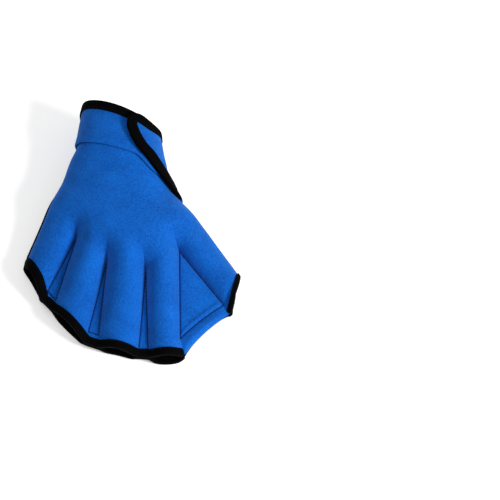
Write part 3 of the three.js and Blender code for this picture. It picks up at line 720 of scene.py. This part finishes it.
BLUE_DARK, BLUE_LIGHT = (0.001, 0.048, 0.27), (0.005, 0.14, 0.6)
BLACK_DARK, BLACK_LIGHT = (0.0004, 0.0004, 0.0005), (0.0018, 0.0018, 0.002)
blue = jersey("blue_jersey", BLUE_DARK, BLUE_LIGHT, 0.2, 0.8, 0.05)
black = jersey("black_jersey", BLACK_DARK, BLACK_LIGHT, 0.0, 0.9, 0.02)
foam = jersey("foam_edge", BLACK_DARK, BLACK_LIGHT, 0.0, 0.9, 0.02)
navy_edge = jersey("navy_edge", (0.001, 0.03, 0.16), (0.002, 0.05, 0.25), 0.0, 0.9, 0.02)
tape = tape_material("black_tape", (0.0005, 0.0005, 0.0006), (0.002, 0.002, 0.0022))
# Real navy stitching thread, dark and near-continuous so that it also paints the shadow line in the web
# seams' grooves
seam_thread_and_shade = thread_material("seam_thread_and_shade", (0.0005, 0.008, 0.05), (0.001, 0.016, 0.09))
black_thread = thread_material("black_thread", (0.001, 0.001, 0.0012), (0.004, 0.004, 0.0045))
hooks = hook_material("hook_field")


# Cloth panels

def cosine_steps(count):
    return -np.cos(math.pi * np.arange(count + 1) / count)


DIGIT_STEPS = cosine_steps(DIGIT_COLUMNS)
PALM_ROWS = np.concatenate([np.linspace(LAP_ROW, 0.6, 46), np.linspace(0.6, 1, 34)[1:]])
FINGER_ROWS = np.concatenate([np.linspace(1, 1.12, 14), np.linspace(1.12, 1.78, 50)[1:],
                              np.linspace(1.78, BOUND_ROW, 22)[1:], np.linspace(BOUND_ROW, 2, 8)[1:]])
BASE_INDEX = int(np.argmin(np.abs(FINGER_ROWS - BASE_ROW)))
FINGER_ROWS[BASE_INDEX] = BASE_ROW


def slit_share(row):
    rows, angles = zip(*SLIT)
    cut = (1 - np.cos(np.radians(curve(rows, angles, row)))) / 2
    return np.where(row >= SLIT_END, 1, cut)


def web_seams():
    """Lines along the webs' seams on the back: their two long sides and their ends."""
    lines = []
    rows = np.linspace(1.02, BASE_ROW, 400)
    ends = np.linspace(-1, 1, 160)
    for parting in range(1, 5):
        lines += [web_point(parting, np.full_like(rows, t), rows, 1) for t in (-1.0, 1.0)]
        lines.append(web_point(parting, ends, np.full_like(ends, BASE_ROW), 1))
    return lines


def hand_skin(side):
    """One side of the hand. The back (side 1) has holes for its webs, and the palm (side -1) runs on behind
    them."""
    skin = Skin()
    columns = np.unique(np.concatenate([digit + (DIGIT_STEPS + 1) / 2 for digit in range(5)]))
    row, column = np.meshgrid(PALM_ROWS, columns, indexing="ij")
    share = share_of(column) * (slit_share(row) if side > 0 else 1)
    palm = palm_point(share, row, side)
    palm_uv = cloth_uv(palm)
    skin.add(palm, palm_uv, flip=side < 0)
    digits = []
    for digit in range(5):
        row, t = np.meshgrid(FINGER_ROWS, DIGIT_STEPS, indexing="ij")
        grid = digit_point(digit, t, row, side)
        first = digit * DIGIT_COLUMNS
        grid[0] = palm[-1, first:first + DIGIT_COLUMNS + 1]
        middle = DIGIT_COLUMNS // 2
        start = palm_uv[-1, first + middle, 0] + grid[:, middle, 0] - grid[0, middle, 0]
        skin.add(grid, cloth_uv(grid, start), flip=side < 0)
        digits.append(grid)
    for parting in range(1, 5):
        first = BASE_INDEX if side > 0 else 0
        count = STRIP_COLUMNS[parting == THUMB_WEB]
        row, t = np.meshgrid(FINGER_ROWS[first:], cosine_steps(count), indexing="ij")
        strip = web_point(parting, t, row, side)
        strip[:, 0] = digits[parting - 1][first:, -1]
        strip[:, -1] = digits[parting][first:, 0]
        if side < 0:
            strip[0] = digits[parting][0, 0]
        skin.add(strip, strip[..., :2], flip=side < 0)
    return skin


def mouth_line(side, digits, frac):
    """The line round some digits' mouths at a share of the binding's width from the edge."""
    row = 2 - frac * (2 - BOUND_ROW)
    pieces = []
    for digit in digits:
        if digit != digits[0]:
            t = np.linspace(-1, 1, 9)
            pieces.append(web_point(digit, t, np.full_like(t, row), side)[1:-1])
        pieces.append(digit_point(digit, DIGIT_STEPS, np.full_like(DIGIT_STEPS, row), side))
    return np.concatenate(pieces)


def side_seams():
    """Lines down the two side seams, where the back meets the palm."""
    lines = []
    rows = np.linspace(LAP_ROW, 1, 500)
    for share in (0.0, 1.0):
        place = palm_plan(np.full_like(rows, share), rows)
        lines.append(point(place[:, 0], place[:, 1], seam_height(rows)))
    rows = np.linspace(1, 2, 400)
    for parting in (0, 5):
        place = seam_plan(parting, 0, rows)
        lines.append(point(place[:, 0], place[:, 1], seam_height(rows)))
    return lines


def web_skin(parting):
    """A web panel, a narrow seam inside the hole that the back leaves for it."""
    base_width = np.linalg.norm(plan(PARTINGS[parting][BASE][1]) - plan(PARTINGS[parting][BASE][0]))
    first = 1 + (BASE_ROW - 1) * WEB_TIP / base_width
    length = np.linalg.norm(plan(PARTINGS[parting][APEX]) - plan(PARTINGS[parting][BASE][0]))
    last = BASE_ROW - SEAM_GAP / length * (BASE_ROW - 1)
    steps = np.concatenate([np.linspace(0, 0.9, 60), 1 - 0.1 * np.linspace(1, 0, 18)[1:] ** 1.4])
    rows = first + (last - first) * steps
    row, t = np.meshgrid(rows, cosine_steps(WEB_COLUMNS[parting == THUMB_WEB]), indexing="ij")
    width = np.linalg.norm(seam_plan(parting, 1, row) - seam_plan(parting, 0, row), axis=-1)
    grid = web_point(parting, t * (1 - SEAM_GAP / width), row, 1)
    grid[..., 2] += WEB_CROWN * (1 - t * t) * np.sin(math.pi * (row - first) / (last - first))
    if parting == THUMB_WEB:
        from_seam = (last - row) * length / (BASE_ROW - 1)
        puff = THUMB_PUFF * np.exp(-(((from_seam - PUFF_AT) / PUFF_REACH) ** 2))
        grid[..., 2] += puff * (1 - t ** 6)
    skin = Skin()
    skin.add(grid, grid[..., :2])
    return skin


def strap_skin():
    """The strap's outside, and lines along its tab's edge, its sewn joint and its start."""
    turns = np.concatenate([np.linspace(0, TONGUE[0], 190), np.linspace(TONGUE[0], TURN_END, 130)[1:]])
    turns = np.unique(np.concatenate([turns, TURN_END - np.array([0.2, 0.5, 1, 1.7, 2.5, 3.5, 5])]))
    steps = np.concatenate([np.linspace(0, 0.93, 40), 1 - 0.07 * np.linspace(1, 0, 10)[1:] ** 1.5])
    turn, t = np.meshgrid(turns, steps, indexing="ij")
    row = mix(rim_row(turn), lower_row(turn), t)
    grid = strap_point(turn, row)
    length = running_length(grid[:, STRAP_MIDDLE])
    uv = np.stack(np.broadcast_arrays(length[:, None], row * STRAP_HEIGHT), axis=-1)
    skin = Skin()
    skin.add(grid, uv)
    edge = strap_point(turns, lower_row(turns))
    joint = strap_point(np.full(200, STRAP_START + 360 - STRAP_JOINT), np.linspace(-1.05, 0.5, 200))
    start = strap_point(np.zeros(200), np.linspace(-1, 0, 200))
    return skin, [edge, joint, start]


# Sewing

def stitch_row(name, line, normals, material, lift):
    """A line of stitches along a line of points, as one mesh."""
    length = running_length(line)
    starts = np.arange(STITCH_PITCH / 2, length[-1] - STITCH_PITCH / 2, STITCH_PITCH)
    shape = np.linspace(-0.5, 0.5, 7)
    out = np.abs(shape) * 2
    at = starts[:, None] + shape[None] * STITCH_LENGTH
    centre = between(at, length, line)
    up = unit(between(at, length, normals))
    along_it = unit(np.gradient(centre, axis=1))
    across = unit(np.cross(up, along_it))
    round_end = np.sqrt(np.maximum(0, 1 - out ** 6))
    arch = lift - 1.6 * THREAD * out ** 3
    centre = centre + up * arch[None, :, None]
    angles = np.linspace(0, 2 * math.pi, 7)[:-1]
    ring = up[:, :, None] * np.cos(angles)[:, None] + across[:, :, None] * np.sin(angles)[:, None]
    points = centre[:, :, None] + ring * (THREAD * np.maximum(round_end, 0.25))[None, :, None, None]
    count, rings, sides = points.shape[:3]
    faces = []
    for k in range(count):
        first = k * rings * sides
        for i in range(rings - 1):
            for j in range(sides):
                a, b = first + i * sides + j, first + i * sides + (j + 1) % sides
                faces.append((a, b, b + sides, a + sides))
        faces.append(tuple(first + j for j in range(sides))[::-1])
        faces.append(tuple(first + (rings - 1) * sides + j for j in range(sides)))
    return make_mesh(name, points.reshape(-1, 3), faces, [material])


def tape_profile(width, thickness, gap):
    """A folded tape's section from its edge on the cloth's face, round the cut edge, to the lining: its outer
    side as pairs of reach from the cut edge and height over the cloth's face, then its inner side."""
    top = gap + thickness
    bend = np.radians(np.linspace(0, 90, 7))
    outer = [(width, gap + 0.15), (width - 0.15, gap + 0.65 * thickness), (width - 0.5, top - 0.06)]
    outer += [(width - 1.0, top), (width - TAPE_STITCH, top - 0.2), (width - 1.9, top + 0.02)]
    for share in (0.95, 0.7, 0.45, 0.2):
        outer.append((share * (width - 2.3), top + 0.1 * math.sin(math.pi * share)))
    outer += [(-top * math.sin(a), top * math.cos(a)) for a in bend]
    outer += [(-top, -0.5 * WALL), (-top, -WALL), (-0.7 * top, -WALL - 0.3), (1.2, -WALL - 0.35)]
    inner = [(1.2, 0.1 - WALL), (-gap, 0.1 - WALL), (-gap, 0), (0, gap), (width / 2, gap)]
    return outer, inner


def folded_tape(name, edge, inner, width, rounds, share, tuck=TUCK):
    """Tape folded over a cloth's edge. edge and inner are lines along the cut edge and the tape's own edge,
    and both start on the back of the hand, where the tape faces up. share scales its width along it."""
    length = float(np.linalg.norm(np.diff(edge, axis=0), axis=1).sum())
    count = int(length / TAPE_STEP)
    even = [relaxed(resampled(line, length / count), rounds) for line in (edge, inner)]
    along_it = np.linspace(0, 1, count + 1)
    edge, own = [between(along_it, np.linspace(0, 1, len(line)), line) for line in even]
    inward = unit(own - edge)
    tangent = unit(np.gradient(edge, axis=0))
    normal = unit(np.cross(tangent, inward))
    upward = np.sign(normal[0, 2])
    normal = normal * upward
    inward = unit(np.cross(normal, tangent)) * upward
    outer_side, inner_side = tape_profile(width, BINDING_THICKNESS, SEAM_GAP)
    section = outer_side + inner_side
    at = np.arange(count + 1) * length / count
    pucker = 1 + PUCKER * np.sin(2 * math.pi * at / STITCH_PITCH)
    wide = np.interp(along_it, *share)
    tucked = mix(TUCKED, 1, np.sqrt(np.clip(np.minimum(at, length - at) / tuck, 0, 1)))
    reach = np.array([s[0] for s in section])
    reach = np.where(reach > 0, reach * wide[:, None], reach) * tucked[:, None]
    height = np.array([s[1] for s in section])
    lifted = np.where(height > SEAM_GAP + 0.2, height * pucker[:, None], height)
    lifted = (lifted + WALL / 2) * tucked[:, None] - WALL / 2
    points = edge[:, None] + inward[:, None] * reach[..., None] + normal[:, None] * lifted[..., None]
    points[..., 2] = np.maximum(points[..., 2], 0)
    n = len(section)
    closed = np.concatenate([points, points[:, :1]], axis=1)
    faces = []
    for i in range(count):
        for j in range(n):
            a, b = i * n + j, i * n + (j + 1) % n
            faces.append((a, b, b + n, a + n))
    faces.append(tuple(range(n))[::-1])
    faces.append(tuple(count * n + j for j in range(n)))
    around = running_length(closed[0])
    uv = []
    for i in range(count):
        for j in range(n):
            uv += [(at[i], around[j]), (at[i], around[j + 1])]
            uv += [(at[i + 1], around[j + 1]), (at[i + 1], around[j])]
    uv += [(0, 0)] * (2 * n)
    if upward < 0:
        faces = [f[::-1] for f in faces]
    o = make_mesh(name, points.reshape(-1, 3), faces, [tape], np.array(uv) * MM)
    line = edge + inward * ((width - TAPE_STITCH) * wide)[:, None]
    inside = slice(int(tuck / TAPE_STEP), -int(tuck / TAPE_STEP))
    return o, line[inside], normal[inside]


def in_place(o, slot, *nodes):
    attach(o, "root")
    if nodes:
        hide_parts(*nodes)
    return o


# The glove

WEB_NAMES = ["ring_web", "middle_web", "index_web", "thumb_web"]
seams = web_seams()
sides = side_seams()
o = thick_cloth("back_cloth", hand_skin(1), [blue, black, navy_edge], seams + sides, upright=seams)
in_place(o, "blue_cloth", "back_panel")
o = thick_cloth("palm_cloth", hand_skin(-1), [black, black, foam], sides, depth=0.5)
in_place(o, "black_cloth", "palm_panel")
for parting, node in enumerate(WEB_NAMES, 1):
    o = thick_cloth(node + "_cloth", web_skin(parting), [blue, black, navy_edge], seams, upright=seams)
    in_place(o, "blue_cloth", node)

strap, strap_edges = strap_skin()
o = thick_cloth("strap_cloth", strap, [blue, black, navy_edge], strap_edges, depth=0.9, reach=0.9)
in_place(o, "blue_cloth", "wrist_strap")

# The webs' stitches: real thread that also lays a painted shadow line along each seam's groove
for i, line in enumerate(seams):
    line = resampled(line, 0.5)
    up = point(0, 0, np.ones(len(line)))
    keep = slice(SEAM_START, None) if i % 3 < 2 else slice(0, None)
    o = stitch_row(f"web_stitches_{i + 1}", line[keep], up[keep], seam_thread_and_shade, THREAD_RISE - SEAM_DEPTH)
    in_place(o, "blue_cloth")


def wrist_path():
    """The tape's path round the rim, over the tab's corner and down its edge, as turns and rows."""
    turns = np.linspace(0, TURN_END, 900)
    rim = [(turn, row) for turn, row in zip(turns, rim_row(turns))]
    slit_turn = STRAP_START + 360 - TAB_EDGE[-1][1]
    down = np.linspace(TURN_END, slit_turn, 200)
    return np.array(rim + [(turn, row) for turn, row in zip(down, lower_row(down))])


def strap_move(turn, row, direction, reach):
    """The turn and row that lie a distance away over the strap's outside."""
    step, lap = NEAR["turn"], NEAR["lap"]
    a = (strap_point(turn + step, row) - strap_point(turn - step, row)) / (2 * step)
    b = (strap_point(turn, row + lap) - strap_point(turn, row - lap)) / (2 * lap)
    det = dot(a, a) * dot(b, b) - dot(a, b) ** 2
    turns = (dot(direction, a) * dot(b, b) - dot(direction, b) * dot(a, b)) / det
    rows = (dot(direction, b) * dot(a, a) - dot(direction, a) * dot(a, b)) / det
    return turn + turns * reach, row + rows * reach


path = wrist_path()
edge = strap_point(path[:, 0], path[:, 1])
tangent = unit(np.gradient(edge, axis=0))
normal = ring_normal(STRAP_START - path[:, 0], path[:, 1])
inward = unit(np.cross(normal, tangent))
inner = strap_point(*strap_move(path[:, 0], path[:, 1], inward, WRIST_BINDING_WIDTH))
length = running_length(edge)
down = np.arange(len(path)) > int(np.argmax(path[:, 0]))
on_tab = ramp(path[:, 0], TAB_RIM) * (1 - ramp(path[:, 0], TAB_TOP)) * ~down
share = (length / length[-1], mix(1, TAB_TAPE, on_tab))
tapes = {"wrist": folded_tape("wrist_tape", edge, inner, WRIST_BINDING_WIDTH, 2, share, 4 * TUCK)}
in_place(tapes["wrist"][0], "black_tape", "wrist_binding")

for name, digits, width, node in (("finger", [0, 1, 2, 3], FINGER_BINDING_WIDTH, "finger_binding"),
                                  ("thumb", [4], THUMB_BINDING_WIDTH, "thumb_binding")):
    lines = []
    for frac in (0.0, 1.0):
        over, under = mouth_line(1, digits, frac), mouth_line(-1, digits, frac)
        if name == "finger":
            lines.append(np.concatenate([over[::-1], under[1:]]))
        else:
            lines.append(np.concatenate([over, under[::-1][1:]]))
    tapes[name] = folded_tape(name + "_tape", *lines, width, 6, MOUTH_TAPE[name])
    in_place(tapes[name][0], "black_tape", node)

lift = SEAM_GAP + BINDING_THICKNESS - THREAD_SINK
for name, (_, line, up) in tapes.items():
    o = stitch_row(name + "_tape_stitches", line, up, black_thread, lift)
    in_place(o, "black_tape")

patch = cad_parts["hook_patch"]
patch.data.materials.clear()
patch.data.materials.append(hooks)


# Stage, light and camera

FLOOR_HALF = 4.0  # metres
FLOOR_GLOW = 0.35  # lifts the floor to nearly white
WORLD_LIGHT = 0.42
PIXEL = 0.82  # millimetres of the glove to a pixel of the picture
PICTURE = 500
ORIGIN_PIXEL = (132, 232)  # where the frame's origin shows
ELEVATION = math.radians(65)
DISTANCE = 2600


def floor():
    mesh = bpy.data.meshes.new("floor")
    corners = [(x * FLOOR_HALF, y * FLOOR_HALF, 0) for x, y in ((-1, -1), (1, -1), (1, 1), (-1, 1))]
    mesh.from_pydata(corners, [], [(0, 1, 2, 3)])
    pale = new_material("pale_floor", (0.9, 0.9, 0.9), 0.9, 0.0, 0.1)
    shader = pale.node_tree.nodes["Principled BSDF"]
    shader.inputs["Emission Color"].default_value = (1, 1, 1, 1)
    shader.inputs["Emission Strength"].default_value = FLOOR_GLOW
    mesh.materials.append(pale)
    o = bpy.data.objects.new("floor", mesh)
    bpy.context.scene.collection.objects.link(o)


def aimed(o, place, target):
    o.location = place
    o.rotation_mode = "QUATERNION"
    o.rotation_quaternion = (Vector(target) - Vector(place)).to_track_quat("-Z", "Y")
    bpy.context.scene.collection.objects.link(o)


def soft_light(name, place, size, power, target=(0, 0, 0.02)):
    lamp = bpy.data.lights.new(name, "AREA")
    lamp.size = size
    lamp.energy = power
    aimed(bpy.data.objects.new(name, lamp), place, target)


def camera():
    data = bpy.data.cameras.new("camera")
    data.sensor_width = 36
    data.lens = data.sensor_width * DISTANCE / (PICTURE * PIXEL)
    data.clip_end = 50
    x = (PICTURE / 2 - ORIGIN_PIXEL[0]) * PIXEL
    y = (ORIGIN_PIXEL[1] - PICTURE / 2) * PIXEL / math.sin(ELEVATION)
    target = Vector((x, y, 0)) * MM
    back = Vector((0, -math.cos(ELEVATION), math.sin(ELEVATION)))
    o = bpy.data.objects.new("camera", data)
    aimed(o, target + back * DISTANCE * MM, target)
    bpy.context.scene.camera = o


world = bpy.data.worlds.new("studio")
world.use_nodes = True
world.node_tree.nodes["Background"].inputs[0].default_value = (1, 1, 1, 1)
world.node_tree.nodes["Background"].inputs[1].default_value = WORLD_LIGHT
bpy.context.scene.world = world
bpy.context.scene.view_settings.view_transform = "Standard"
floor()
soft_light("key", (1.35, -0.65, 0.95), 0.45, 36)
soft_light("fill", (-0.5, 0.4, 1.6), 1.2, 7)
camera()
